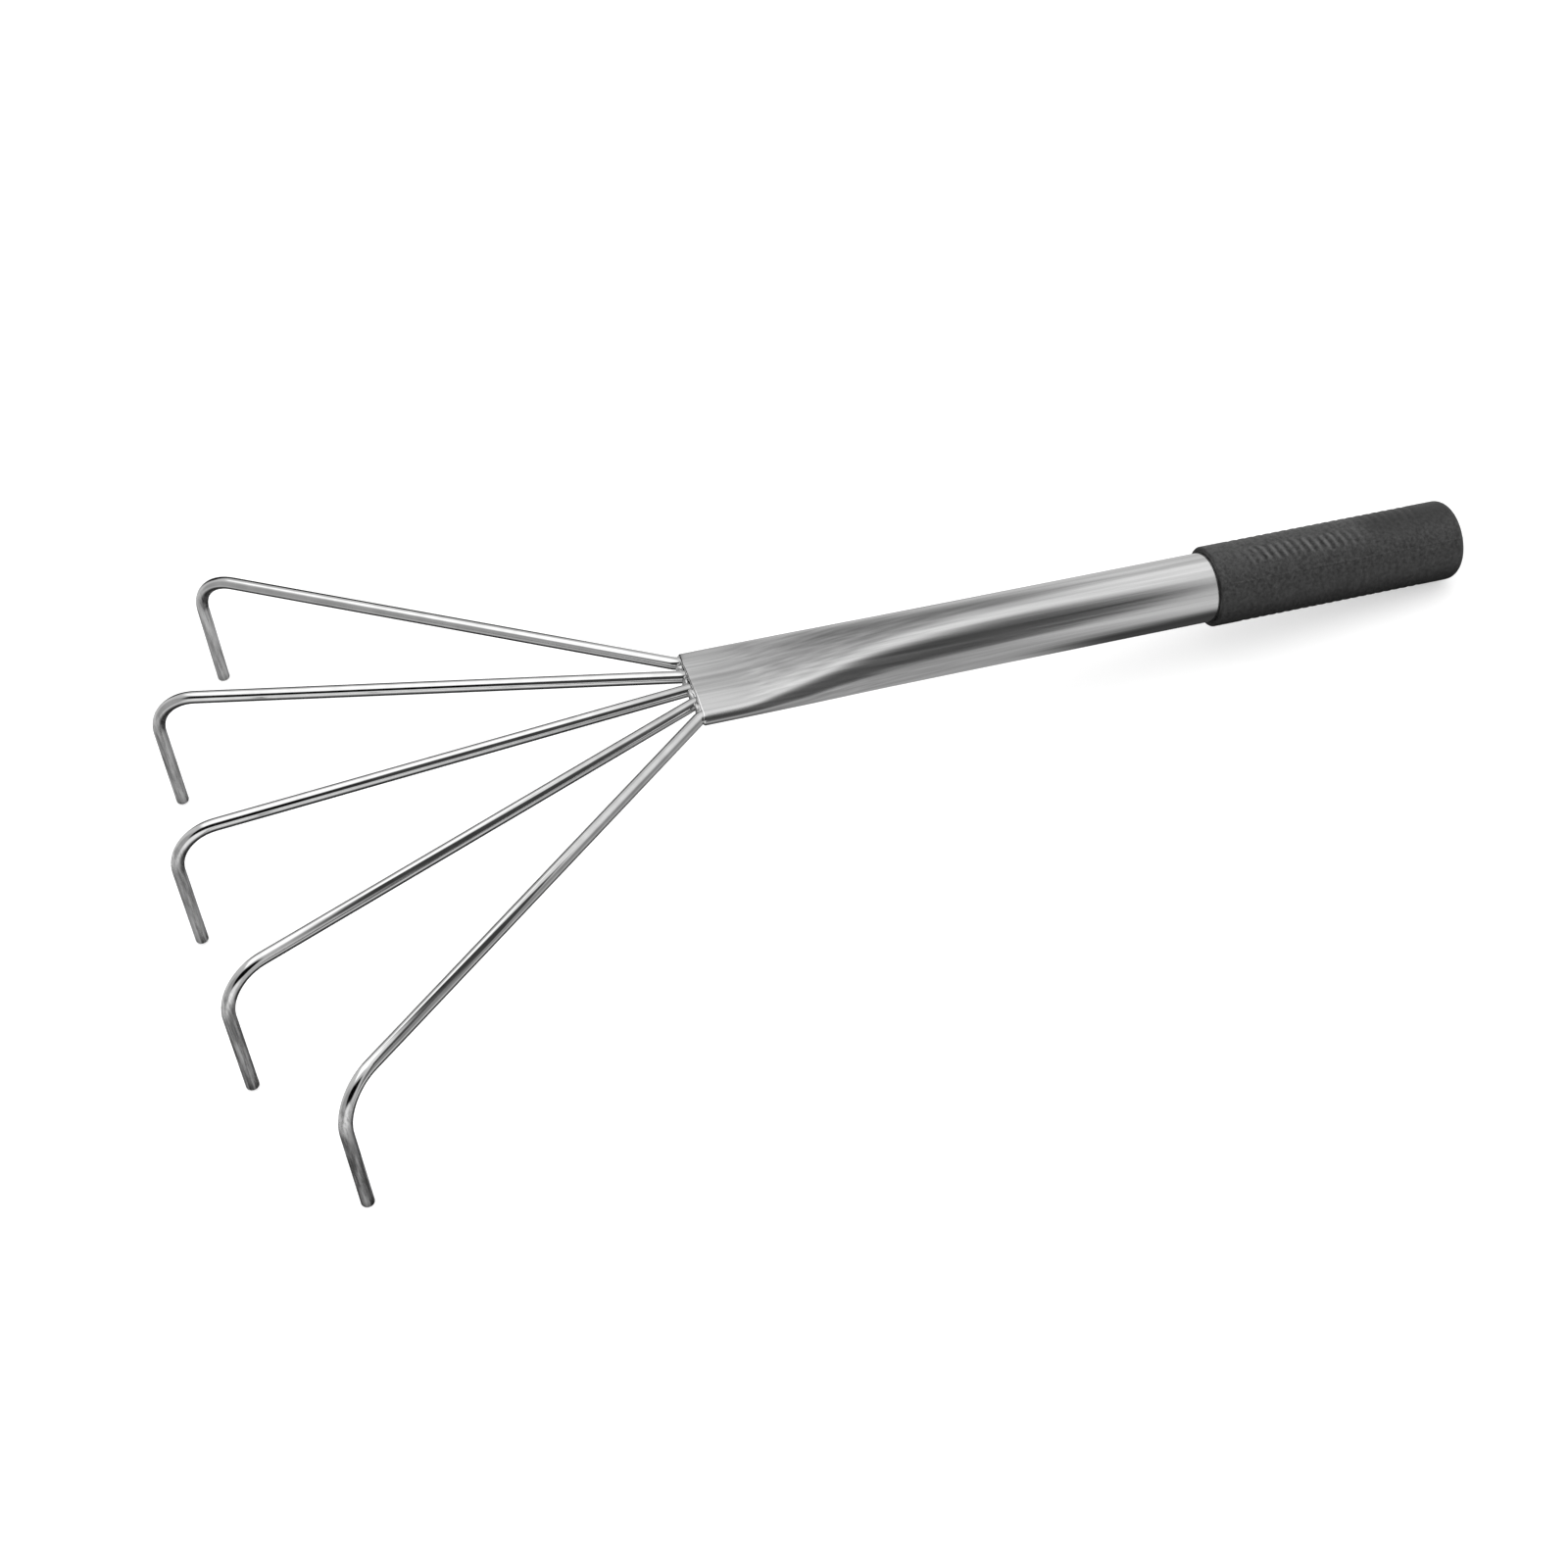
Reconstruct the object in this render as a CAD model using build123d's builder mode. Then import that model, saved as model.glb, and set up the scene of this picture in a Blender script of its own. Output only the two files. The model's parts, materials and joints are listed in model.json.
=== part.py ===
from build123d import *
import os
from math import asin, atan2, cos, degrees, hypot, pi, radians, sin, tan

# A one-hand garden rake: five bent wire tines welded into the pressed-flat mouth of a steel tube,
# with a slip-on rubber grip on the tube's other end. Millimetres. The rake stands on a floor at Z = 0,
# on its outer tine tips and the heel of its grip, with X running from the tines towards the grip.

# Tube
TUBE_DIAMETER = 25.0
TUBE_WALL = 1.0
TUBE_EXPOSED = 191.0  # from the mouth to the front of the grip
MOUTH_LENGTH = 15.0  # the stretch that is pressed quite flat
TAPER_LENGTH = 115.0  # from the flat stretch to the round tube
TAPER_SECTIONS = 5
CROWN_ARC = 1.0  # degrees each side of the round tube's top, left straight as the last of the flat
RIM_ROUND = 0.3

# Tines, from the far side to the near side
TINE_DIAMETER = 4.5
TINE_ANGLES = (38.0, 20.0, 0.0, -20.0, -38.0)
ARM_LENGTHS = (190.5, 187.0, 180.5, 187.0, 190.5)  # from the root bend to the elbow
LEG_LENGTH = 50.0  # from the elbow to the tip
FAN_DIP = 6.0  # degrees that the fan leans down from the tube's axis
ROOT_RADIUS = 5.0
ELBOW_RADIUS = 16.0
TIP_ROUND = 0.7
TINE_INSERT = 14.0  # the length of each wire inside the mouth
TINE_CLEARANCE = 0.05

# Weld beads
BEAD_DEPTH = 4.0  # into the mouth
BEAD_PROUD = 1.5  # out of the mouth
BEAD_RELIEF = 1.6  # how much narrower a bead is than the spacing of the tines
BEAD_ROUND = 0.9

# Grip
GRIP_LENGTH = 97.0
GRIP_WALL = 2.0
GRIP_END = 3.0  # thickness of the closed end
GRIP_EDGE = 4.0  # rounding of the closed end
GRIP_LIP = 0.5  # rounding of the open end
GRIP_CLEARANCE = 0.05
RIB_PITCH = 3.3
GROOVE_WIDTH = 1.3
GROOVE_DEPTH = 0.35
RIB_MARGIN = 10.0  # plain band at each end of the ribs

# Sizes that follow from those above
tube_radius = TUBE_DIAMETER / 2
grip_radius = tube_radius + GRIP_WALL
mouth_gap = TINE_DIAMETER + 2 * TINE_CLEARANCE
mouth_half_height = mouth_gap / 2 + TUBE_WALL
mouth_flat = pi * (tube_radius - mouth_half_height)  # the tube keeps its girth when it is pressed
gap_count = len(TINE_ANGLES) - 1
tine_spacing = mouth_flat / gap_count
tine_places = [mouth_flat / 2 - tine_spacing * number for number in range(len(TINE_ANGLES))]
root_reach = ROOT_RADIUS * tan(radians(max(TINE_ANGLES)) / 2)  # the bends start at the mouth's rim
taper_end = MOUTH_LENGTH + TAPER_LENGTH
grip_rear = TUBE_EXPOSED + GRIP_LENGTH
tube_length = grip_rear - GRIP_END
dip = radians(FAN_DIP)


def tip_place(angle, arm):
    """How far a tine's tip lies in front of the mouth and below the tube's axis."""
    reach = arm * cos(radians(angle))
    ahead = root_reach + reach * cos(dip) - LEG_LENGTH * sin(dip)
    below = reach * sin(dip) + LEG_LENGTH * cos(dip)
    return ahead, below


def standing_tilt(ahead, below):
    """The tilt of the tube that puts a tip at this place and the heel of the grip on the floor."""
    run = grip_rear - GRIP_EDGE + ahead
    rise = below - (grip_radius - GRIP_EDGE)
    return atan2(rise, run) - asin(GRIP_EDGE / hypot(run, rise))


# How the rake stands: on the tips that meet the floor first, with its length centred on the origin
tips = [tip_place(angle, arm) for angle, arm in zip(TINE_ANGLES, ARM_LENGTHS)]
tilt, tip_ahead, tip_below = max((standing_tilt(*place), *place) for place in tips)
mouth_height = tip_below * cos(tilt) - tip_ahead * sin(tilt)
front_x = min(-ahead * cos(tilt) - below * sin(tilt) for ahead, below in tips) - TINE_DIAMETER / 2
rear_x = (grip_rear - GRIP_EDGE) * cos(tilt) + (grip_radius - GRIP_EDGE) * sin(tilt) + GRIP_EDGE

# Planes: the tube lies along X of tool, from the mouth, and the arms lie in fan, with the legs along its -Z
tool = Plane(
    origin=(-(front_x + rear_x) / 2, 0, mouth_height),
    x_dir=(cos(tilt), 0, -sin(tilt)),
    z_dir=(sin(tilt), 0, cos(tilt)),
)
fan = Plane(
    origin=tool.from_local_coords((-root_reach, 0, 0)),
    x_dir=(cos(dip - tilt), 0, sin(dip - tilt)),
    z_dir=(-sin(dip - tilt), 0, cos(dip - tilt)),
)
side = Plane(origin=tool.origin, x_dir=tool.x_dir, z_dir=-tool.y_dir)
tube_axis = Axis(tool.origin, tool.x_dir)


def station(distance):
    """The plane across the tube at a distance from the mouth, with its own X to the far side."""
    return Plane(origin=tool.from_local_coords((distance, 0, 0)), x_dir=tool.y_dir, z_dir=tool.x_dir)


def taper_half_height(share):
    """Half the tube's outside height at a share of the taper, steep at the mouth and easing to round."""
    return tube_radius - (tube_radius - mouth_half_height) * (1 - share) ** 2


def wall_arch(distance, half_height):
    """The upper half of the tube's wall, seen along the tube, where it is pressed to this half height."""
    flat = pi * (tube_radius - half_height)
    turn = 90 if flat > 0 else 90 - CROWN_ARC
    with BuildSketch(station(distance)) as arch:
        with BuildLine():
            for radius in (half_height, half_height - TUBE_WALL):
                far_bend = CenterArc((flat / 2, 0), radius, 0, turn)
                near_bend = CenterArc((-flat / 2, 0), radius, 180, -turn)
                Line(far_bend @ 1, near_bend @ 1)
            for way in (1, -1):
                outside = way * (flat / 2 + half_height)
                Line((outside, 0), (outside - way * TUBE_WALL, 0))
        make_face()
    return arch.sketch


# Tube: the upper half of the flat mouth, the taper and the round stretch, and then its mirror image
with BuildPart() as handle_tube:
    extrude(wall_arch(0, mouth_half_height), amount=MOUTH_LENGTH)
    shares = [number / (TAPER_SECTIONS - 1) for number in range(TAPER_SECTIONS)]
    loft([wall_arch(MOUTH_LENGTH + share * TAPER_LENGTH, taper_half_height(share)) for share in shares])
    extrude(wall_arch(taper_end, tube_radius), amount=tube_length - taper_end)
    mirror(about=tool)
    rim = handle_tube.faces().sort_by(tube_axis)[0]
    fillet(rim.outer_wire().edges(), RIM_ROUND)

# Tines
tines = []
for place, angle, arm in zip(tine_places, TINE_ANGLES, ARM_LENGTHS):
    elbow = Vector(-arm * cos(radians(angle)), place + arm * sin(radians(angle)), 0)
    tail = tool.from_local_coords((TINE_INSERT, place, 0))
    root = fan.from_local_coords((0, place, 0))
    tip = fan.from_local_coords(elbow - Vector(0, 0, LEG_LENGTH))
    with BuildPart() as tine:
        with BuildLine() as wire:
            FilletPolyline(tail, root, fan.from_local_coords(elbow), tip, radius=[ROOT_RADIUS, ELBOW_RADIUS])
        with BuildSketch(Plane(origin=wire.line @ 0, z_dir=wire.line % 0)):
            Circle(TINE_DIAMETER / 2)
        sweep()
        fillet(tine.faces().sort_by_distance(tip)[0].edges(), TIP_ROUND)
    tines.append(tine.part)

# Weld beads, one in each gap between two tines at the mouth
with BuildPart() as weld_beads:
    with BuildSketch(tool):
        with Locations(((BEAD_DEPTH - BEAD_PROUD) / 2, 0)):
            with GridLocations(0, tine_spacing, 1, gap_count):
                Rectangle(BEAD_DEPTH + BEAD_PROUD, tine_spacing - BEAD_RELIEF)
    extrude(amount=mouth_gap / 2, both=True)
    front_faces = weld_beads.faces().filter_by(tube_axis).group_by(tube_axis)[0]
    fillet(front_faces.edges(), BEAD_ROUND)
    add(tines, mode=Mode.SUBTRACT)

# Grip, with shallow grooves between its ring ribs
with BuildPart() as grip:
    with BuildSketch(side) as half_section:
        with Locations((TUBE_EXPOSED, 0)):
            Rectangle(GRIP_LENGTH, grip_radius, align=(Align.MIN, Align.MIN))
            fillet(half_section.vertices().group_by(Axis.Y)[-1].sort_by(Axis.X)[-1], GRIP_EDGE)
            fillet(half_section.vertices().group_by(Axis.Y)[-1].sort_by(Axis.X)[0], GRIP_LIP)
            Rectangle(
                GRIP_LENGTH - GRIP_END,
                tube_radius + GRIP_CLEARANCE,
                align=(Align.MIN, Align.MIN),
                mode=Mode.SUBTRACT,
            )
        groove_count = int((GRIP_LENGTH - GRIP_EDGE - 2 * RIB_MARGIN) // RIB_PITCH)
        with Locations((TUBE_EXPOSED + (GRIP_LENGTH - GRIP_EDGE) / 2, grip_radius)):
            with GridLocations(RIB_PITCH, 0, groove_count, 1):
                Rectangle(GROOVE_WIDTH, 2 * GROOVE_DEPTH, mode=Mode.SUBTRACT)
    revolve(axis=tube_axis)

pieces = {"handle_tube": handle_tube.part, "weld_beads": weld_beads.part, "grip": grip.part}
pieces.update({f"tine_{number}": tine for number, tine in enumerate(tines, 1)})
os.makedirs("parts", exist_ok=True)
for name, piece in pieces.items():
    piece.label = name
    export_step(piece, f"parts/{name}.step")
print("tilt", round(degrees(tilt), 3), "mouth", [round(value, 3) for value in tool.origin])
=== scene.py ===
import json
from math import acos, cos, exp, pi, radians, sin, sqrt, tan

import bpy
from mathutils import Matrix, Vector, noise


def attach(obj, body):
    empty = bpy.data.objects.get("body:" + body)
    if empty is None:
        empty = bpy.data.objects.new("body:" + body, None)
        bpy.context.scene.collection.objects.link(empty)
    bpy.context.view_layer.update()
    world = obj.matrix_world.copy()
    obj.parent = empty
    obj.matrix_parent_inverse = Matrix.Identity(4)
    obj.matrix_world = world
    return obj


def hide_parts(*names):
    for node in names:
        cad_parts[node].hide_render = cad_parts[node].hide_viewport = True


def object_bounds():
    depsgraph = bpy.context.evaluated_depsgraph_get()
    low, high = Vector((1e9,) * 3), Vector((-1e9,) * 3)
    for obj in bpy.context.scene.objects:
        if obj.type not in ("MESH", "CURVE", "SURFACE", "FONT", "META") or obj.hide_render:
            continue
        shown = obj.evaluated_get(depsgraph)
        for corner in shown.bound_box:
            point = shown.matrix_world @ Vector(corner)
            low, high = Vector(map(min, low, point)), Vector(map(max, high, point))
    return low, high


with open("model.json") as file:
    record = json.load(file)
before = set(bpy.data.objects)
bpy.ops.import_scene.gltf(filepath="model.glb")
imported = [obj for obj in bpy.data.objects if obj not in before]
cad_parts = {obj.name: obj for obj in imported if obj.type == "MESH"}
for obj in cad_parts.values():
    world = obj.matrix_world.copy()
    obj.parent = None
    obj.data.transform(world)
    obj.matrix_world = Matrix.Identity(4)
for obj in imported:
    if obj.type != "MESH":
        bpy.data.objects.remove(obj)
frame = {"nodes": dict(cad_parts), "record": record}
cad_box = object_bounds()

# A one-hand garden rake: five bent plated wires in the pressed mouth of a plated tube, with a ribbed
# slip-on grip. Metres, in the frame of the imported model.
MM = 0.001

# Tube
TUBE_RADIUS = 12.5 * MM
TUBE_WALL = 1.0 * MM
MOUTH_HALF_HEIGHT = 3.3 * MM
MOUTH_DOME = 0.7 * MM  # how much the pressed faces bulge at the mouth
MOUTH_SPREAD = 0.05  # the share by which the mouth is wider than its girth gives
MOUTH_LENGTH = 15.0 * MM
TAPER_LENGTH = 115.0 * MM
CREASE_BLEND = 5.0 * MM  # half the length over which the flat mouth bends into the taper
MOUTH_ROUNDING = 0.58  # how far the section lies from a slot towards an oval, at the mouth
TAPER_ROUNDING = 0.22  # and the same in the taper
ROUNDING_START = 32.0 * MM  # the stretch over which the section changes between the two
ROUNDING_END = 70.0 * MM
RIM_ROUND = 0.7 * MM
RIM_WALL = 0.8 * MM
RIM_REACH = 1.2 * MM  # how far the pressed rim has crept out over the tines
RIM_SKEW = 0.03  # and how much further for each metre towards the near side
RIM_WOBBLE = 0.3 * MM
RIM_CELLS = 250.0  # noise cells in a metre of the rim
RIM_FADE = 12.0 * MM  # the stretch behind the rim that crept with it
DENT_DEPTH = 0.05 * MM
DENT_CELLS = Vector((30.0, 60.0, 60.0))  # noise cells in a metre along the tube, across it and up

# Tines, from the far side to the near side
TINE_RADIUS = 2.25 * MM
TINE_ANGLES = [radians(angle) for angle in (38.0, 20.0, 0.0, -20.0, -38.0)]
ARM_LENGTHS = [length * MM for length in (190.5, 187.0, 180.5, 187.0, 190.5)]
LEG_LENGTH = 50.0 * MM
FAN_DIP = radians(6.0)  # how far the fan leans down from the tube
ROOT_BEND = 5.0 * MM
ELBOW_BEND = 16.0 * MM
TIP_ROUND = 0.7 * MM
TINE_INSERT = 14.0 * MM  # the length of each wire inside the mouth

# Weld lumps in the gaps between the tines
LUMP_LENGTH = 1.7 * MM
LUMP_HEIGHT = 2.2 * MM
LUMP_OUT = 1.1 * MM
LUMP_POLE = radians(4.0)  # the small flat that closes each end of a lump
LUMP_SWELL = 0.35  # how uneven a lump is, as a share of its size
LUMP_CELLS = 1.6  # noise cells from a lump's middle to its outside
RIPPLE = 0.15  # a finer unevenness on top of the first
RIPPLE_CELLS = 3.0  # how much finer it is
LUMP_SEED = Vector((0.0, 1.7, 0.4))  # where in the noise the first lump lies, and the step to the next
LUMP_SEED_STEP = Vector((7.3, 0.0, 0.0))

# Grip, with turns from the top towards the far side
GRIP_EDGE = 4.0 * MM  # rounding of the closed end
GRIP_LIP = 0.5 * MM  # rounding of the open end
GRIP_FRONT_BAND = 1.0 * MM  # from the open end to the first ring behind its rounding
GRIP_PLAY = 0.05 * MM
GRIP_POLE = 0.2 * MM  # radius of the small flat that closes each end of the mesh
RIB_PITCH = 3.3 * MM
RIB_MARGIN = 10.0 * MM
GROOVE_DEPTH = 0.2 * MM
GROOVE_POWER = 1.5  # above 1, the grooves are narrower than the ribs
SEAM_HEIGHT = 0.12 * MM
SEAM_WIDTH = 0.25 * MM
SEAM_TURNS = (radians(-52.0), radians(128.0))

# Painted highlights in strokes on the grip's rib crests, with painted shade in the gaps between them
RIB_HIGHLIGHT_PLACE = 225.0 * MM  # the middle of the patch of painted highlights, along the tube
RIB_HIGHLIGHT_HALF_LENGTH = 20.0 * MM
RIB_HIGHLIGHT_TURN = radians(-15.0)
RIB_HIGHLIGHT_HALF_TURN = radians(13.0)
RIB_HIGHLIGHT_LEAN = 4.0 * MM  # how far a stroke drifts along the grip for each radian round it
GROOVE_SHADE = 0.3  # how dark the painted shade in the gaps between the strokes is, as a share of how pale the painted highlights are
RIB_HIGHLIGHT_STRENGTH = 0.7
RIB_HIGHLIGHT_UNEVEN = 0.6  # how much the strength varies
RIB_HIGHLIGHT_WAVER = 0.1  # how far the strokes' ends waver, in radians
RIB_HIGHLIGHT_CELLS = Vector((3.1, 4.0, 0.5))  # noise cells from stroke to stroke and in a radian, and a layer of it
WAVER_CELLS = 2.0  # how much finer the waver is
# the tone that the painted highlights add at their palest, and that the painted shade in the gaps takes away
RIB_HIGHLIGHT_TONE = 0.085

# Painted light where the grip faces up and painted shade where it faces down, as a factor on its tone
PAINTED_SHADE_BELOW = 0.3
PAINTED_LIGHT_ON_TOP = 1.3
PAINTED_LIGHT_START = -0.6  # how far up a face looks where the painted light starts to rise out of the painted shade, from -1 to 1
TOP_SHADE_LEVEL = 0.45  # in a patch of painted shade on top near the closed end
TOP_SHADE_START = 246.0 * MM
TOP_SHADE_FADE = 10.0 * MM
TOP_SHADE_TURN = radians(20.0)
TOP_SHADE_HALF_TURN = radians(40.0)

# Finishes
NOISE_SPAN = (0.3, 0.7)  # where most values of a noise lie
PLATING_DETAIL = 4.0
PLATING_BREAKUP = 0.5
SCUFF_TOP = 47.5 * MM  # the height under which soil has scuffed the plating of the tines
SCUFF_FADE = 6.0 * MM
SCUFF_CELL = (1.4 * MM, 1.4 * MM, 16.0 * MM)
SCUFF_DETAIL = 6.0
SCUFF_BREAKUP = 0.65
SCUFF_SPAN = (0.35, 0.6)
SCUFF_TONES = (0.4, 0.9)
SCUFF_SHEEN = (0.18, 0.4)
RUBBER_TONES = (0.005, 0.043)
RUBBER_SHEEN = 0.5
GRAIN_CELL = (1.25 * MM, 1.25 * MM, 1.25 * MM)
GRAIN_DETAIL = 5.0
GRAIN_BREAKUP = 0.7
GRAIN_DEPTH = 0.25 * MM
GRAIN_STRENGTH = 0.6

# Mesh fineness
TUBE_SIDES = 160
TINE_SIDES = 28
LUMP_SIDES = 24
GRIP_SIDES = 144
PRESSED_STEP = 1.0 * MM
ROUND_STEP = 6.0 * MM
ROUND_START = 150.0 * MM  # from here to the grip the tube is quite round
BORE_STEP = 4.0 * MM
TINE_STEP = 4.0 * MM
GRIP_STEP = 0.3 * MM
RIM_ARC = pi / 12
BEND_ARC = radians(5.0)
TIP_ARC = pi / 10
LUMP_ARC = pi / 16
EDGE_ARC = pi / 16
LIP_ARC = pi / 8
CREASE_STEPS = 4
SEAM_REACH = 2.0  # how far each side of a mould seam its own columns go, and their step, in seam widths
SEAM_STEP = 0.5

# Camera, with its turn as azimuth, elevation and roll in degrees
CAMERA_PLACE = (-0.18, -0.684, 0.679)
CAMERA_TURN = (-12.83, 44.43, -7.72)
CAMERA_LENS = 63.2
CAMERA_SENSOR = 36.0

# Floor and lamp
FLOOR_HALF = 4.0
FLOOR_TONE = 0.6
FLOOR_ROUGHNESS = 0.9
FLOOR_GLOW = 0.45
LAMP_PLACE = (-0.3, 0.3, 1.6)
LAMP_SIZE = (2.2, 1.6)
LAMP_POWER = 5.0

# Studio
FILL_LEVEL = 1.35  # its even light
STUDIO_LEVEL = 0.65  # what reflections see of it, apart from the parts below
# Each part: azimuth, elevation, inner and outer angle from its middle in degrees, level
STUDIO = {
    "right_wall": (110.0, 55.0, 15.0, 35.0, 0.9),
    "left_wall": (-75.0, 10.0, 25.0, 45.0, 0.4),
    "dark_left": (-30.0, 40.0, 15.0, 30.0, 0.0),
    "dark_front": (0.0, 40.0, 15.0, 30.0, 0.0),
    "table_front": (-20.0, -5.0, 15.0, 30.0, 1.0),
    "right_front": (60.0, 5.0, 15.0, 30.0, 0.3),
    "shadow": (180.0, -85.0, 35.0, 65.0, 0.04),
}

# Cards near the rake that only reflections see
# Each card: the place along the tube that it faces, its azimuth, elevation and distance from there,
# its size, how far its edges fade, and its level
CARDS = {
    "front_flag": (420.0 * MM, -30.0, 30.0, 0.43, (0.43, 1.3), (0.07, 0.55), 0.08),
    "back_flag": (90.0 * MM, 175.0, 45.0, 0.045, (0.185, 0.105), (0.065, 0.08), 0.08),
    "floor_card": (90.0 * MM, 0.0, -90.0, 0.035, (0.23, 0.47), (0.09, 0.09), 0.4),
    "tube_shadow": (185.0 * MM, 0.0, -90.0, 0.023, (0.14, 0.06), (0.045, 0.012), 0.06),
    "top_softbox": (-170.0 * MM, 180.0, 80.0, 0.4, (0.5, 0.6), (0.1, 0.1), 1.4),
    "side_flag": (-10.0 * MM, -15.0, 40.0, 0.12, (0.22, 0.17), (0.05, 0.05), 0.05),
    "back_strip": (-120.0 * MM, 180.0, 5.0, 0.3, (0.45, 0.24), (0.1, 0.08), 0.0),
}

# The tube's own axes: along it from the mouth, across to the far side, and up
sleeve = next(mount for mount in frame["record"]["mounts"] if mount["name"] == "grip_sleeve")
along = Vector(sleeve["axis"])
across = Vector((0, 1, 0))
up = along.cross(across)
seat = Vector(sleeve["pos_m"])
tube_span = [(vertex.co - seat).dot(along) for vertex in frame["nodes"]["handle_tube"].data.vertices]
grip_span = [(vertex.co - seat).dot(along) for vertex in frame["nodes"]["grip"].data.vertices]
mouth = seat + along * min(tube_span)
tool = Matrix.Translation(mouth) @ Matrix((along, across, up)).transposed().to_4x4()

# Sizes that follow from those above
tube_length = max(tube_span) - min(tube_span)
grip_front = min(grip_span) - min(tube_span)
grip_rear = max(grip_span) - min(tube_span)
grip_radius = sleeve["dims"]["r_mm"] * MM
bore_radius = TUBE_RADIUS + GRIP_PLAY
rib_count = int((grip_rear - grip_front - GRIP_EDGE - 2 * RIB_MARGIN) // RIB_PITCH)
rib_middle = (grip_front + grip_rear - GRIP_EDGE) / 2
gap_count = len(TINE_ANGLES) - 1
tine_spacing = pi * (TUBE_RADIUS - MOUTH_HALF_HEIGHT) / gap_count


def steps(start, end, size):
    """Evenly spaced values from start to end, both included, about a size apart."""
    count = max(1, round(abs(end - start) / size))
    return [start + (end - start) * number / count for number in range(count + 1)]


def circle(sides):
    """The turns of evenly spaced sides."""
    return [2 * pi * side / sides for side in range(sides)]


def ease(share):
    """A smooth step from 0 to 1."""
    share = min(1.0, max(0.0, share))
    return share * share * (3 - 2 * share)


def patch(offset, half_size):
    """A patch with soft edges: 1 around its middle, 0.5 at its half size and 0 half as far again."""
    return ease(1.5 - abs(offset) / half_size)


def turn_from(other, turn):
    """The turn from another turn to this one, whichever way round is shorter, with its sign."""
    return (turn - other + pi) % (2 * pi) - pi


def direction(azimuth, elevation):
    """The direction at an azimuth from -Y towards +X and at an elevation, both in degrees."""
    azimuth, elevation = radians(azimuth), radians(elevation)
    return Vector((sin(azimuth) * cos(elevation), -cos(azimuth) * cos(elevation), sin(elevation)))


def add_piece(name, shells, looped, material, node):
    """One smooth mesh in place of a node, from shells of rings, looped round or closed at both ends."""
    points, faces = [], []
    for rings in shells:
        base = len(points)
        sides = len(rings[0])
        points += [tool @ point for ring in rings for point in ring]
        for number in range(len(rings) if looped else len(rings) - 1):
            here = base + number * sides
            there = base + (number + 1) % len(rings) * sides
            for side in range(sides):
                beside = (side + 1) % sides
                faces.append((here + side, here + beside, there + beside, there + side))
        if not looped:
            faces.append(list(range(base + sides - 1, base - 1, -1)))
            faces.append(list(range(len(points) - sides, len(points))))
    mesh = bpy.data.meshes.new(name)
    mesh.from_pydata(points, [], faces)
    mesh.validate()
    mesh.update()
    mesh.shade_smooth()
    mesh.materials.append(material)
    piece = bpy.data.objects.new(name, mesh)
    bpy.context.scene.collection.objects.link(piece)
    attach(piece, "root")
    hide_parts(node)
    return piece


def add_values(piece, name, values):
    """Gives each point of a piece a value that its material reads under a name."""
    layer = piece.data.attributes.new(name, "FLOAT", "POINT")
    layer.data.foreach_set("value", values)


def new_material(name, metallic):
    """A new material, its nodes and its shader."""
    material = bpy.data.materials.new(name)
    material.use_nodes = True
    shader = material.node_tree.nodes["Principled BSDF"]
    shader.inputs["Metallic"].default_value = metallic
    return material, material.node_tree, shader


def add_noise(tree, cell, detail, breakup, lean=0.0):
    """Noise over a piece, with the size of its cells along each axis, after the axes lean about Y."""
    place = tree.nodes.new("ShaderNodeTexCoord")
    layout = tree.nodes.new("ShaderNodeMapping")
    layout.vector_type = "TEXTURE"
    layout.inputs["Rotation"].default_value = (0, lean, 0)
    layout.inputs["Scale"].default_value = cell
    texture = tree.nodes.new("ShaderNodeTexNoise")
    texture.inputs["Scale"].default_value = 1.0
    texture.inputs["Detail"].default_value = detail
    texture.inputs["Roughness"].default_value = breakup
    tree.links.new(place.outputs["Object"], layout.inputs["Vector"])
    tree.links.new(layout.outputs["Vector"], texture.inputs["Vector"])
    return texture.outputs["Fac"]


def add_attribute(tree, name):
    """The value that the points of a piece hold under a name."""
    attribute = tree.nodes.new("ShaderNodeAttribute")
    attribute.attribute_name = name
    return attribute.outputs["Fac"]


def remap(tree, value, span, levels):
    """A value's span mapped to two levels, and held at them outside the span."""
    mapping = tree.nodes.new("ShaderNodeMapRange")
    mapping.inputs["From Min"].default_value = span[0]
    mapping.inputs["From Max"].default_value = span[1]
    mapping.inputs["To Min"].default_value = levels[0]
    mapping.inputs["To Max"].default_value = levels[1]
    tree.links.new(value, mapping.inputs["Value"])
    return mapping.outputs["Result"]


def plated_material(name, tones, sheen, cell):
    """Bright plating with a low and a high tone and roughness, in cells that lie along the tube."""
    material, tree, shader = new_material(name, 1.0)
    uneven = add_noise(tree, cell, PLATING_DETAIL, PLATING_BREAKUP, lean=acos(along.x))
    tree.links.new(remap(tree, uneven, NOISE_SPAN, tones), shader.inputs["Base Color"])
    tree.links.new(remap(tree, uneven, NOISE_SPAN, sheen), shader.inputs["Roughness"])
    return material


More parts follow.
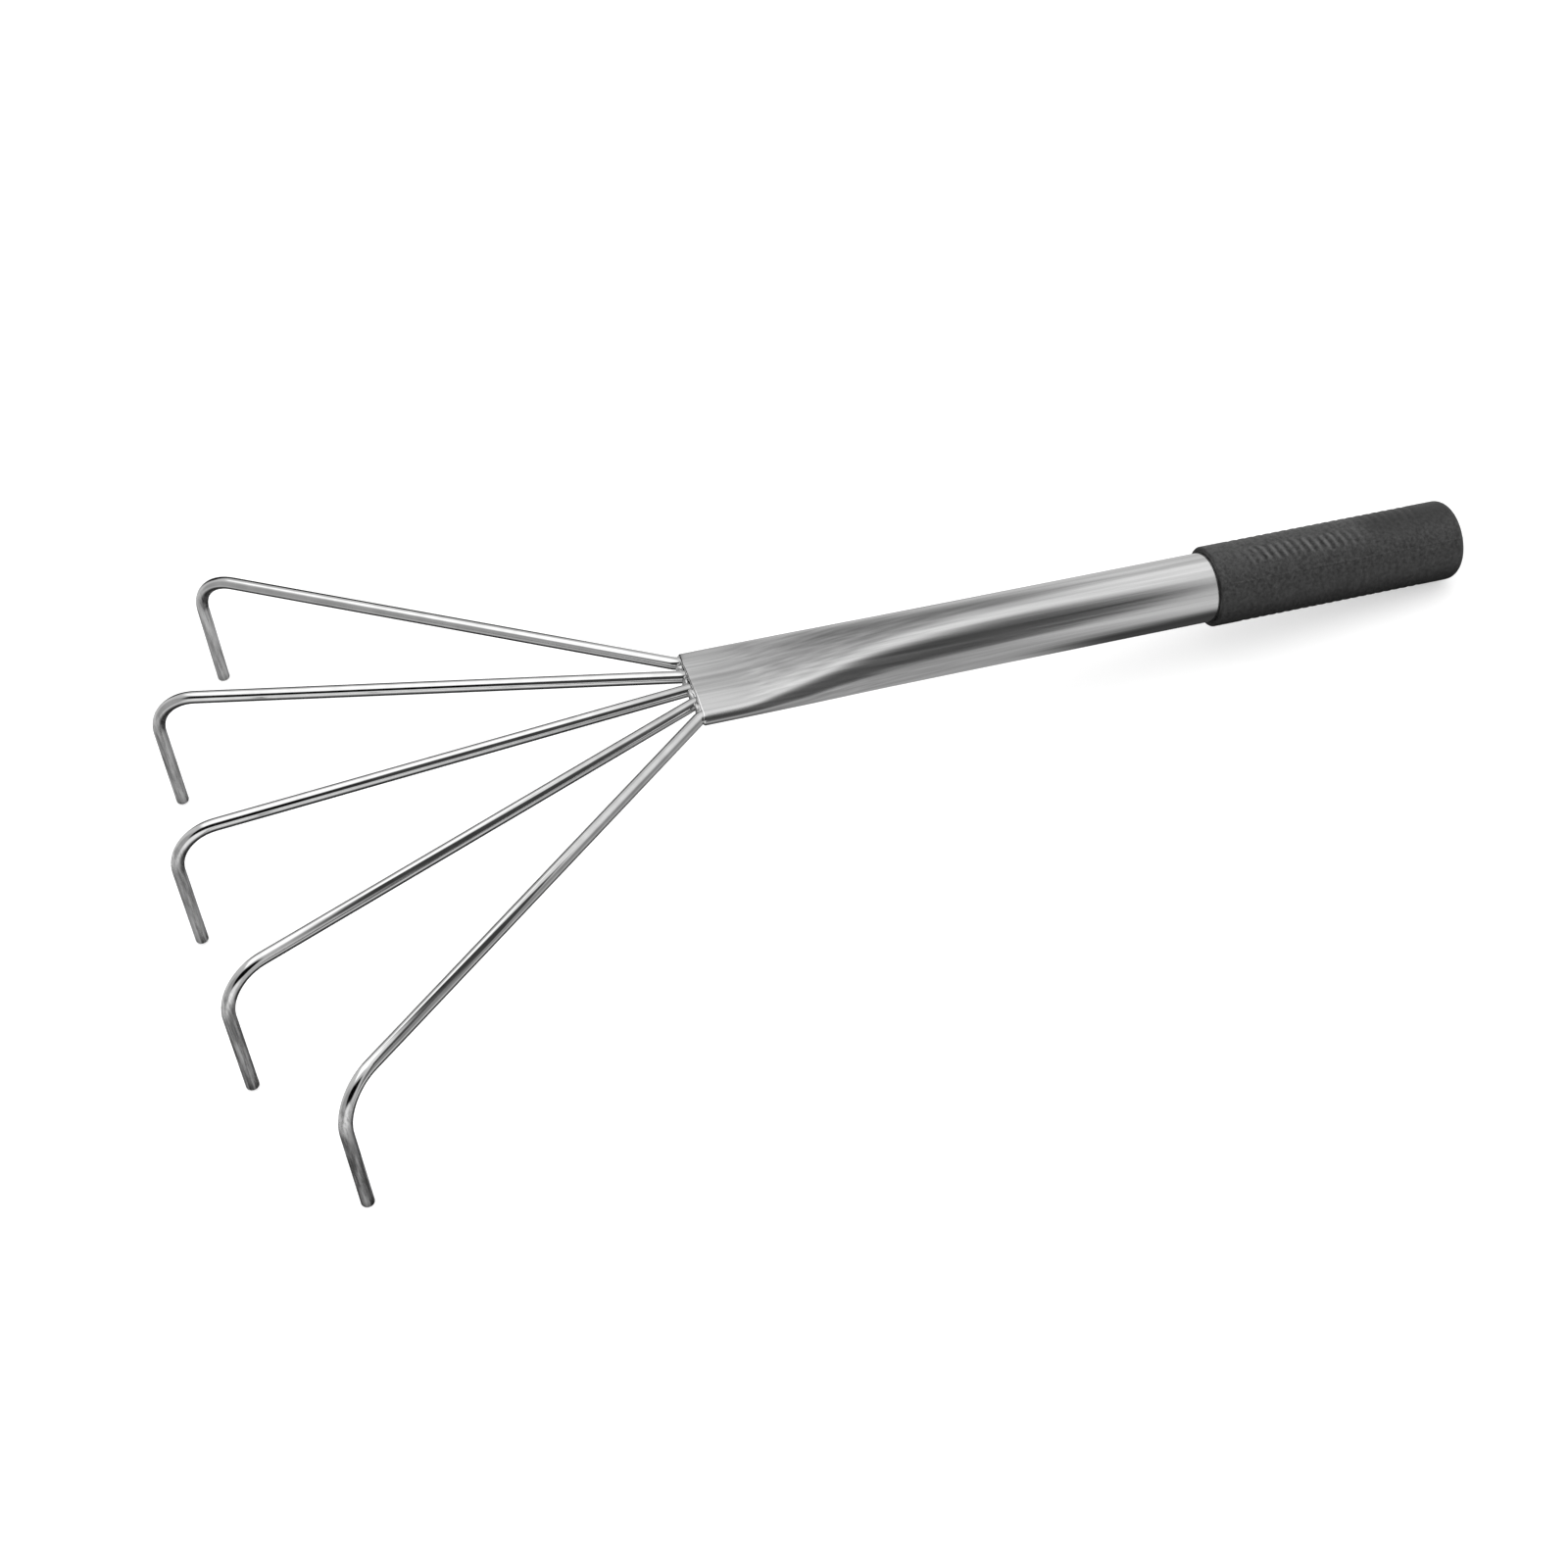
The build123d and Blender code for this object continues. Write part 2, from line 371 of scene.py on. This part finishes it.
def scuff(material):
    """Turns plating duller and streaky on the legs of the tines, which work in the soil."""
    tree = material.node_tree
    shader = tree.nodes["Principled BSDF"]
    place = tree.nodes.new("ShaderNodeTexCoord")
    height = tree.nodes.new("ShaderNodeSeparateXYZ")
    tree.links.new(place.outputs["Object"], height.inputs["Vector"])
    low = remap(tree, height.outputs["Z"], (SCUFF_TOP, SCUFF_TOP - SCUFF_FADE), (0.0, 1.0))
    streaks = add_noise(tree, SCUFF_CELL, SCUFF_DETAIL, SCUFF_BREAKUP)
    for socket, levels in (("Base Color", SCUFF_TONES), ("Roughness", SCUFF_SHEEN)):
        plated = shader.inputs[socket].links[0].from_socket
        mix = tree.nodes.new("ShaderNodeMix")
        tree.links.new(low, mix.inputs["Factor"])
        tree.links.new(plated, mix.inputs["A"])
        tree.links.new(remap(tree, streaks, SCUFF_SPAN, levels), mix.inputs["B"])
        tree.links.new(mix.outputs["Result"], shader.inputs[socket])


def rubber_material():
    """Dark rubber with a fine grain, painted light where it faces up and painted shade where it faces down,
    and painted highlights on its rib crests.
    """
    material, tree, shader = new_material("grip_rubber", 0.0)
    shader.inputs["Roughness"].default_value = RUBBER_SHEEN
    grain = add_noise(tree, GRAIN_CELL, GRAIN_DETAIL, GRAIN_BREAKUP)
    surface = tree.nodes.new("ShaderNodeNewGeometry")
    facing = tree.nodes.new("ShaderNodeSeparateXYZ")
    tree.links.new(surface.outputs["Normal"], facing.inputs["Vector"])
    # painted light on faces that look up and painted shade on faces that look down, as a factor on the
    # grain's tone
    painted_light = remap(tree, facing.outputs["Z"], (PAINTED_LIGHT_START, 1.0), (PAINTED_SHADE_BELOW, PAINTED_LIGHT_ON_TOP))
    tree.links.new(add_attribute(tree, "painted_light"), painted_light.node.inputs["To Max"])
    shaded_tone = tree.nodes.new("ShaderNodeMath")
    shaded_tone.operation = "MULTIPLY"
    tree.links.new(remap(tree, grain, NOISE_SPAN, RUBBER_TONES), shaded_tone.inputs[0])
    tree.links.new(painted_light, shaded_tone.inputs[1])
    # painted highlights on the rib crests, and painted shade in the gaps between them, added to the tone
    highlighted = tree.nodes.new("ShaderNodeMath")
    highlighted.operation = "MULTIPLY_ADD"
    highlighted.use_clamp = True
    highlighted.inputs[1].default_value = RIB_HIGHLIGHT_TONE
    tree.links.new(add_attribute(tree, "rib_highlight"), highlighted.inputs[0])
    tree.links.new(shaded_tone.outputs["Value"], highlighted.inputs[2])
    tree.links.new(highlighted.outputs["Value"], shader.inputs["Base Color"])
    bump = tree.nodes.new("ShaderNodeBump")
    bump.inputs["Distance"].default_value = GRAIN_DEPTH
    bump.inputs["Strength"].default_value = GRAIN_STRENGTH
    tree.links.new(grain, bump.inputs["Height"])
    tree.links.new(bump.outputs["Normal"], shader.inputs["Normal"])
    return material


def half_height(distance):
    """Half the pressed tube's outside height at a distance from the mouth, with the crease eased."""
    total = 0.0
    places = steps(distance - CREASE_BLEND, distance + CREASE_BLEND, CREASE_BLEND / CREASE_STEPS)
    for place in places:
        share = min(1.0, max(0.0, (place - MOUTH_LENGTH) / TAPER_LENGTH))
        total += TUBE_RADIUS - (TUBE_RADIUS - MOUTH_HALF_HEIGHT - MOUTH_DOME) * (1 - share) ** 2
    return total / len(places)


def slot_point(share, height):
    """A point of a slot with the tube's girth and its outward direction, at a share of the girth."""
    flat = pi * (TUBE_RADIUS - height)
    girth = 2 * pi * TUBE_RADIUS
    run = share * girth
    far_bend = flat / 2
    bottom = far_bend + pi * height
    near_bend = bottom + flat
    if run < far_bend or run > girth - flat / 2:
        middle = run if run < far_bend else run - girth
        turn = pi / 2
    elif run < bottom:
        middle = flat / 2
        turn = pi / 2 - (run - far_bend) / height
    elif run < near_bend:
        middle = flat / 2 + bottom - run
        turn = -pi / 2
    else:
        middle = -flat / 2
        turn = -pi / 2 - (run - near_bend) / height
    outward = Vector((0, cos(turn), sin(turn)))
    return Vector((0, middle, 0)) + outward * height, outward


def oval_point(share, height):
    """A point of an oval with about the tube's girth and its outward direction, at a share of a turn."""
    half_width = sqrt(2 * TUBE_RADIUS**2 - height**2)
    turn = 2 * pi * share
    outward = Vector((0, height * sin(turn), half_width * cos(turn))).normalized()
    return Vector((0, half_width * sin(turn), height * cos(turn))), outward


def tube_ring(place, inset):
    """The points round the tube's wall at a place along it, a little under its outside."""
    height = half_height(place)
    changed = ease((place - ROUNDING_START) / (ROUNDING_END - ROUNDING_START))
    rounding = MOUTH_ROUNDING + (TAPER_ROUNDING - MOUTH_ROUNDING) * changed
    spread = 1 + MOUTH_SPREAD * (1 - changed)
    crept = 1 - ease(place / RIM_FADE)
    ring = []
    for side in range(TUBE_SIDES):
        slot, slot_out = slot_point(side / TUBE_SIDES, height)
        oval, oval_out = oval_point(side / TUBE_SIDES, height)
        point = slot.lerp(oval, rounding)
        outward = slot_out.lerp(oval_out, rounding).normalized()
        dent = DENT_DEPTH * noise.noise(Vector((place, point.y, point.z)) * DENT_CELLS)
        creep = RIM_REACH - RIM_SKEW * point.y + RIM_WOBBLE * noise.noise(point * RIM_CELLS)
        point.x = place - creep * crept
        point.y *= spread
        ring.append(point + outward * (dent - inset))
    return ring


def make_tube(material):
    """The tube as one closed shell: outside to the mouth, round the rim and back along the inside."""
    rings = [tube_ring(place, 0.0) for place in steps(tube_length, ROUND_START, ROUND_STEP)]
    rings += [tube_ring(place, 0.0) for place in steps(ROUND_START, RIM_ROUND, PRESSED_STEP)[1:]]
    for turn in steps(0, pi / 2, RIM_ARC)[1:]:
        rings.append(tube_ring(RIM_ROUND * (1 - sin(turn)), RIM_ROUND * (1 - cos(turn))))
    for place in steps(0, tube_length, BORE_STEP):
        rings.append(tube_ring(place, RIM_WALL + (TUBE_WALL - RIM_WALL) * ease(place / RIM_FADE)))
    add_piece("tube_body", [rings], True, material, "handle_tube")


def bent_route(corners, bends):
    """Points along straight runs joined by arcs."""
    route = []
    start = corners[0]
    for corner, beyond, bend in zip(corners[1:], corners[2:], bends):
        into = (corner - start).normalized()
        out = (beyond - corner).normalized()
        turn = into.angle(out)
        setback = bend * tan(turn / 2)
        begin = corner - into * setback
        inward = (out - into * into.dot(out)).normalized()
        centre = begin + inward * bend
        straight = steps(0, 1, TINE_STEP / (begin - start).length)
        route += [start.lerp(begin, share) for share in straight[:-1]]
        arc = steps(0, turn, BEND_ARC)
        route += [centre + (into * sin(part) - inward * cos(part)) * bend for part in arc[:-1]]
        start = corner + out * setback
    straight = steps(0, 1, TINE_STEP / (corners[-1] - start).length)
    return route + [start.lerp(corners[-1], share) for share in straight]


def wire_rings(route):
    """Rings round a wire along its route, carried along without a twist, with a rounded tip."""
    spots = []
    for index, point in enumerate(route[:-1]):
        heading = (route[index + 1] - route[max(0, index - 1)]).normalized()
        spots.append((point, heading, TINE_RADIUS))
    heading = (route[-1] - route[-2]).normalized()
    for turn in steps(0, pi / 2, TIP_ARC):
        point = route[-1] - heading * TIP_ROUND * (1 - sin(turn))
        spots.append((point, heading, TINE_RADIUS - TIP_ROUND * (1 - cos(turn))))
    heading = spots[0][1]
    beside = heading.orthogonal().normalized()
    rings = []
    for point, ahead, radius in spots:
        beside = heading.rotation_difference(ahead) @ beside
        heading = ahead
        other = heading.cross(beside)
        ring = [point + (beside * cos(turn) + other * sin(turn)) * radius for turn in circle(TINE_SIDES)]
        rings.append(ring)
    return rings


def make_tine(number, angle, arm, material):
    """One wire: its root in the mouth, the arm out along the fan, the elbow, and the leg down to the tip."""
    place = tine_spacing * ((len(TINE_ANGLES) + 1) / 2 - number)
    root_reach = ROOT_BEND * tan(max(TINE_ANGLES) / 2)
    fan = Matrix.Translation((-root_reach, 0, 0)) @ Matrix.Rotation(-FAN_DIP, 4, "Y")
    tail = Vector((TINE_INSERT, place, 0))
    root = Vector((-root_reach, place, 0))
    elbow = Vector((-arm * cos(angle), place + arm * sin(angle), 0))
    tip = elbow - Vector((0, 0, LEG_LENGTH))
    route = bent_route([tail, root, fan @ elbow, fan @ tip], (ROOT_BEND, ELBOW_BEND))
    add_piece(f"wire_{number}", [wire_rings(route)], False, material, f"tine_{number}")


def make_lumps(material):
    """The weld beads: an uneven lump in each gap between two tines."""
    size = Vector((LUMP_LENGTH, tine_spacing / 2, LUMP_HEIGHT))
    shells = []
    for gap in range(gap_count):
        middle = Vector((-LUMP_OUT, tine_spacing * ((gap_count - 1) / 2 - gap), 0))
        rings = []
        for lean in steps(LUMP_POLE, pi - LUMP_POLE, LUMP_ARC):
            ring = []
            for turn in circle(LUMP_SIDES):
                way = Vector((-cos(lean), sin(lean) * cos(turn), sin(lean) * sin(turn)))
                spot = way * LUMP_CELLS + LUMP_SEED + LUMP_SEED_STEP * gap
                swell = 1 + LUMP_SWELL * noise.noise(spot) + RIPPLE * noise.noise(spot * RIPPLE_CELLS)
                ring.append(middle + way * size * swell)
            rings.append(ring)
        shells.append(rings)
    add_piece("weld_lumps", shells, False, material, "weld_beads")


def rib_phase(place):
    """How many rib pitches a place along the tube lies behind the first groove's front."""
    return (place - rib_middle) / RIB_PITCH + rib_count / 2


def wave(phase):
    """A wave that is 0 at whole phases and 1 half way between them."""
    return (0.5 - 0.5 * cos(2 * pi * phase)) ** GROOVE_POWER


def grip_profile():
    """Places and radii from the closed end along the ribs to the open end, and back along the bore."""
    profile = [(grip_rear, GRIP_POLE)]
    for turn in steps(pi / 2, 0, EDGE_ARC)[:-1]:
        place = grip_rear - GRIP_EDGE * (1 - sin(turn))
        profile.append((place, grip_radius - GRIP_EDGE * (1 - cos(turn))))
    for place in steps(grip_rear - GRIP_EDGE, grip_front + GRIP_FRONT_BAND, GRIP_STEP):
        phase = rib_phase(place)
        groove = wave(phase) if 0 < phase < rib_count else 0.0
        profile.append((place, grip_radius - GROOVE_DEPTH * groove))
    for turn in steps(0, pi / 2, LIP_ARC):
        place = grip_front + GRIP_LIP * (1 - sin(turn))
        profile.append((place, grip_radius - GRIP_LIP * (1 - cos(turn))))
    return profile + [(grip_front, bore_radius), (tube_length, bore_radius), (tube_length, GRIP_POLE)]


def from_seam(turn):
    """How many seam widths a turn round the grip lies from the nearest mould seam."""
    return min(abs(turn_from(seam, turn)) for seam in SEAM_TURNS) * grip_radius / SEAM_WIDTH


def grip_turns():
    """The turns of the sleeve's columns, which lie closer together at the mould seams."""
    turns = [turn for turn in circle(GRIP_SIDES) if from_seam(turn) > SEAM_REACH + SEAM_STEP]
    for seam in SEAM_TURNS:
        for part in steps(-SEAM_REACH, SEAM_REACH, SEAM_STEP):
            turns.append((seam + part * SEAM_WIDTH / grip_radius) % (2 * pi))
    return sorted(turns)


def rib_highlight_at(place, turn):
    """The painted highlight on the grip's outside: above 0 on a painted highlight stroke along a rib crest,
    and below 0 where painted shade lies in the gap beside it.
    """
    past = turn_from(RIB_HIGHLIGHT_TURN, turn)
    phase = rib_phase(place + RIB_HIGHLIGHT_LEAN * past)
    stroke = wave(phase + 0.5) - GROOVE_SHADE
    spot = Vector((round(phase), past, 1.0)) * RIB_HIGHLIGHT_CELLS
    strength = RIB_HIGHLIGHT_STRENGTH + RIB_HIGHLIGHT_UNEVEN * noise.noise(spot)
    waver = RIB_HIGHLIGHT_WAVER * noise.noise(spot * WAVER_CELLS)
    lengthwise = patch(place - RIB_HIGHLIGHT_PLACE, RIB_HIGHLIGHT_HALF_LENGTH)
    return stroke * strength * lengthwise * patch(past + waver, RIB_HIGHLIGHT_HALF_TURN)


def painted_light_at(place, turn):
    """The level of painted light where the grip faces up, lower in a patch of painted shade on top near the
    closed end.
    """
    top_shade = ease((place - TOP_SHADE_START) / TOP_SHADE_FADE) * patch(turn_from(TOP_SHADE_TURN, turn), TOP_SHADE_HALF_TURN)
    return PAINTED_LIGHT_ON_TOP + (TOP_SHADE_LEVEL - PAINTED_LIGHT_ON_TOP) * top_shade


def make_grip(material):
    """The sleeve with its ribs and mould seams, and the painted highlights and the painted light and shade
    on it.
    """
    turns = grip_turns()
    rings, rib_highlight, painted_light = [], [], []
    for place, radius in grip_profile():
        outside = radius > bore_radius
        seam = SEAM_HEIGHT if outside and place > grip_front + RIB_MARGIN / 2 else 0.0
        ring = []
        for turn in turns:
            reach = radius + seam * exp(-from_seam(turn) ** 2)
            ring.append(Vector((place, reach * sin(turn), reach * cos(turn))))
            rib_highlight.append(rib_highlight_at(place, turn) if outside else 0.0)
            painted_light.append(painted_light_at(place, turn))
        rings.append(ring)
    piece = add_piece("grip_sleeve", [rings], False, material, "grip")
    add_values(piece, "rib_highlight", rib_highlight)
    add_values(piece, "painted_light", painted_light)


def add_camera():
    """The camera at the photograph's viewing angle."""
    azimuth, elevation, roll = CAMERA_TURN
    back = direction(azimuth, elevation)
    right = Vector((0, 0, 1)).cross(back).normalized()
    turn = Matrix((right, back.cross(right), back)).transposed() @ Matrix.Rotation(radians(roll), 3, "Z")
    camera = bpy.data.objects.new("camera", bpy.data.cameras.new("camera"))
    camera.data.lens = CAMERA_LENS
    camera.data.sensor_width = CAMERA_SENSOR
    camera.matrix_world = Matrix.Translation(CAMERA_PLACE) @ turn.to_4x4()
    bpy.context.scene.collection.objects.link(camera)
    bpy.context.scene.camera = camera


def add_sheet(name, corners, material):
    """A flat sheet of the studio."""
    mesh = bpy.data.meshes.new(name)
    mesh.from_pydata(corners, [], [(0, 1, 2, 3)])
    mesh.materials.append(material)
    sheet = bpy.data.objects.new(name, mesh)
    bpy.context.scene.collection.objects.link(sheet)
    return sheet


def add_floor():
    """A pale paper floor that reflections don't see."""
    material, _, shader = new_material("floor_paper", 0.0)
    shader.inputs["Base Color"].default_value = (FLOOR_TONE, FLOOR_TONE, FLOOR_TONE, 1)
    shader.inputs["Roughness"].default_value = FLOOR_ROUGHNESS
    shader.inputs["Emission Color"].default_value = (1, 1, 1, 1)
    shader.inputs["Emission Strength"].default_value = FLOOR_GLOW
    ways = ((-1, -1), (1, -1), (1, 1), (-1, 1))
    corners = [(x * FLOOR_HALF, y * FLOOR_HALF, cad_box[0].z) for x, y in ways]
    add_sheet("floor", corners, material).visible_glossy = False


def card_material(name, size, fade, level):
    """A glow that fades out towards the edges of a card."""
    material, tree, shader = new_material(name, 0.0)
    shader.inputs["Base Color"].default_value = (0, 0, 0, 1)
    shader.inputs["Specular IOR Level"].default_value = 0.0
    shader.inputs["Emission Color"].default_value = (1, 1, 1, 1)
    shader.inputs["Emission Strength"].default_value = level
    spot = tree.nodes.new("ShaderNodeTexCoord")
    sides = tree.nodes.new("ShaderNodeSeparateXYZ")
    tree.links.new(spot.outputs["UV"], sides.inputs["Vector"])
    both = tree.nodes.new("ShaderNodeMath")
    both.operation = "MULTIPLY"
    for number in range(2):
        nearer = tree.nodes.new("ShaderNodeMath")
        nearer.operation = "PINGPONG"
        nearer.inputs[1].default_value = 0.5
        tree.links.new(sides.outputs[number], nearer.inputs[0])
        edge = remap(tree, nearer.outputs["Value"], (0.0, fade[number] / size[number]), (0.0, 1.0))
        edge.node.interpolation_type = "SMOOTHSTEP"
        tree.links.new(edge, both.inputs[number])
    tree.links.new(both.outputs["Value"], shader.inputs["Alpha"])
    return material


def add_card(name, place, azimuth, elevation, far, size, fade, level):
    """A card with soft edges that only reflections see."""
    back = direction(azimuth, elevation)
    turn = back.to_track_quat("Z", "Y")
    side = turn @ Vector((size[0] / 2, 0, 0))
    rise = turn @ Vector((0, size[1] / 2, 0))
    middle = tool @ Vector((place, 0, 0)) + back * far
    corners = [middle - side - rise, middle + side - rise, middle + side + rise, middle - side + rise]
    card = add_sheet(name, corners, card_material(name, size, fade, level))
    card.data.uv_layers.new()
    card.visible_camera = False
    card.visible_diffuse = False
    card.visible_shadow = False


def add_lamp():
    """A large soft lamp overhead that faces the rake and that reflections don't see."""
    lamp = bpy.data.objects.new("ceiling_light", bpy.data.lights.new("ceiling_light", "AREA"))
    lamp.data.shape = "RECTANGLE"
    lamp.data.size, lamp.data.size_y = LAMP_SIZE
    lamp.data.energy = LAMP_POWER
    lamp.location = LAMP_PLACE
    lamp.rotation_euler = Vector(LAMP_PLACE).to_track_quat("Z", "Y").to_euler()
    lamp.visible_glossy = False
    bpy.context.scene.collection.objects.link(lamp)


def add_world():
    """An even white studio, in which reflections also see the round soft-edged parts of STUDIO."""
    world = bpy.data.worlds.new("studio")
    world.use_nodes = True
    bpy.context.scene.world = world
    tree = world.node_tree
    place = tree.nodes.new("ShaderNodeTexCoord")
    last = None
    for azimuth, elevation, inner, outer, level in STUDIO.values():
        facing = tree.nodes.new("ShaderNodeVectorMath")
        facing.operation = "DOT_PRODUCT"
        facing.inputs[1].default_value = direction(azimuth, elevation)
        tree.links.new(place.outputs["Generated"], facing.inputs[0])
        span = (cos(radians(outer)), cos(radians(inner)))
        edge = remap(tree, facing.outputs["Value"], span, (0.0, 1.0))
        edge.node.interpolation_type = "SMOOTHSTEP"
        mix = tree.nodes.new("ShaderNodeMix")
        mix.inputs["A"].default_value = STUDIO_LEVEL
        mix.inputs["B"].default_value = level
        tree.links.new(edge, mix.inputs["Factor"])
        if last:
            tree.links.new(last.outputs["Result"], mix.inputs["A"])
        last = mix
    path = tree.nodes.new("ShaderNodeLightPath")
    seen = tree.nodes.new("ShaderNodeMix")
    seen.inputs["A"].default_value = FILL_LEVEL
    tree.links.new(path.outputs["Is Glossy Ray"], seen.inputs["Factor"])
    tree.links.new(last.outputs["Result"], seen.inputs["B"])
    tree.links.new(seen.outputs["Result"], tree.nodes["Background"].inputs["Color"])


# The rake
tube_plating = plated_material(
    "tube_plating", tones=(0.58, 0.85), sheen=(0.1, 0.22), cell=(80 * MM, 1.4 * MM, 1.4 * MM)
)
wire_plating = plated_material(
    "wire_plating", tones=(0.66, 0.78), sheen=(0.04, 0.09), cell=(6.5 * MM, 6.5 * MM, 6.5 * MM)
)
scuff(wire_plating)
weld_metal = plated_material(
    "weld_metal", tones=(0.5, 0.75), sheen=(0.15, 0.35), cell=(1.7 * MM, 1.7 * MM, 1.7 * MM)
)
make_tube(tube_plating)
for number, (angle, arm) in enumerate(zip(TINE_ANGLES, ARM_LENGTHS), 1):
    make_tine(number, angle, arm, wire_plating)
make_lumps(weld_metal)
make_grip(rubber_material())

# The studio
add_camera()
add_floor()
for name, values in CARDS.items():
    add_card(name, *values)
add_world()
add_lamp()
bpy.context.scene.view_settings.view_transform = "Standard"
